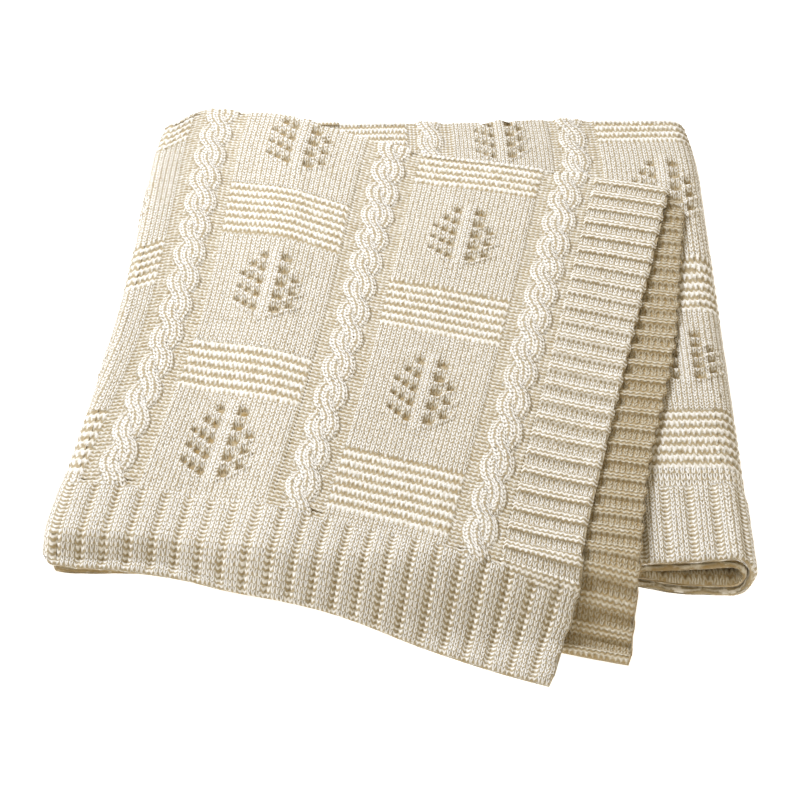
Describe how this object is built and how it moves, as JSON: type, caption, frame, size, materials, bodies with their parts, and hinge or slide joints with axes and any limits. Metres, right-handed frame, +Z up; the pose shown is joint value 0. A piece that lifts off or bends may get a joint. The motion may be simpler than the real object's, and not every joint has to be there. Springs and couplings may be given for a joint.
{
  "type": "folded throw blanket",
  "caption": "Cream knitted throw blanket folded into a flat pile, with cable and lace panels, ribbed hems, welted side borders and a top flap that turns back.",
  "frame": {"origin": "middle of the footprint, on the surface that the pile lies on", "axes": "+X across the pile from the left fold to the right fold, +Y towards the back fold, +Z up"},
  "size_m": [0.41, 0.493, 0.0374],
  "materials": {
    "knit_field": "matte cream cotton knit",
    "knit_rib": "matte cream cotton rib",
    "knit_welt": "matte cream cotton welts"
  },
  "bodies": {
    "root": {"base_lower_leaf": "knit_field", "base_lower_hem": "knit_rib", "base_upper_leaf": "knit_field", "base_upper_hem": "knit_rib", "base_back_fold": "knit_field", "right_fold_outer": "knit_field", "right_fold_inner": "knit_field", "right_fold_back_corner": "knit_field", "right_flap_upper_leaf": "knit_field", "right_flap_upper_hem": "knit_rib", "right_flap_upper_side_welt": "knit_welt", "right_flap_lower_leaf": "knit_field", "right_flap_lower_hem": "knit_rib", "right_flap_lower_side_welt": "knit_welt", "right_flap_back_fold": "knit_field", "left_fold_outer": "knit_field", "left_fold_inner": "knit_field", "left_fold_back_corner": "knit_field"},
    "top_flap": {"top_flap_upper_leaf": "knit_field", "top_flap_upper_hem": "knit_rib", "top_flap_upper_side_welt": "knit_welt", "top_flap_lower_leaf": "knit_field", "top_flap_lower_hem": "knit_rib", "top_flap_lower_side_welt": "knit_welt", "top_flap_back_fold": "knit_field"}
  },
  "joints": [
    {"name": "top_flap_open", "type": "hinge", "parent": "root", "child": "top_flap", "pos_m": [-0.18167, 0.03452, 0.0094], "axis": [-0.0712, -0.9975, 0], "range_deg": [0, 165], "deforming": ["left_fold_outer", "left_fold_inner", "left_fold_back_corner"]}
  ]
}
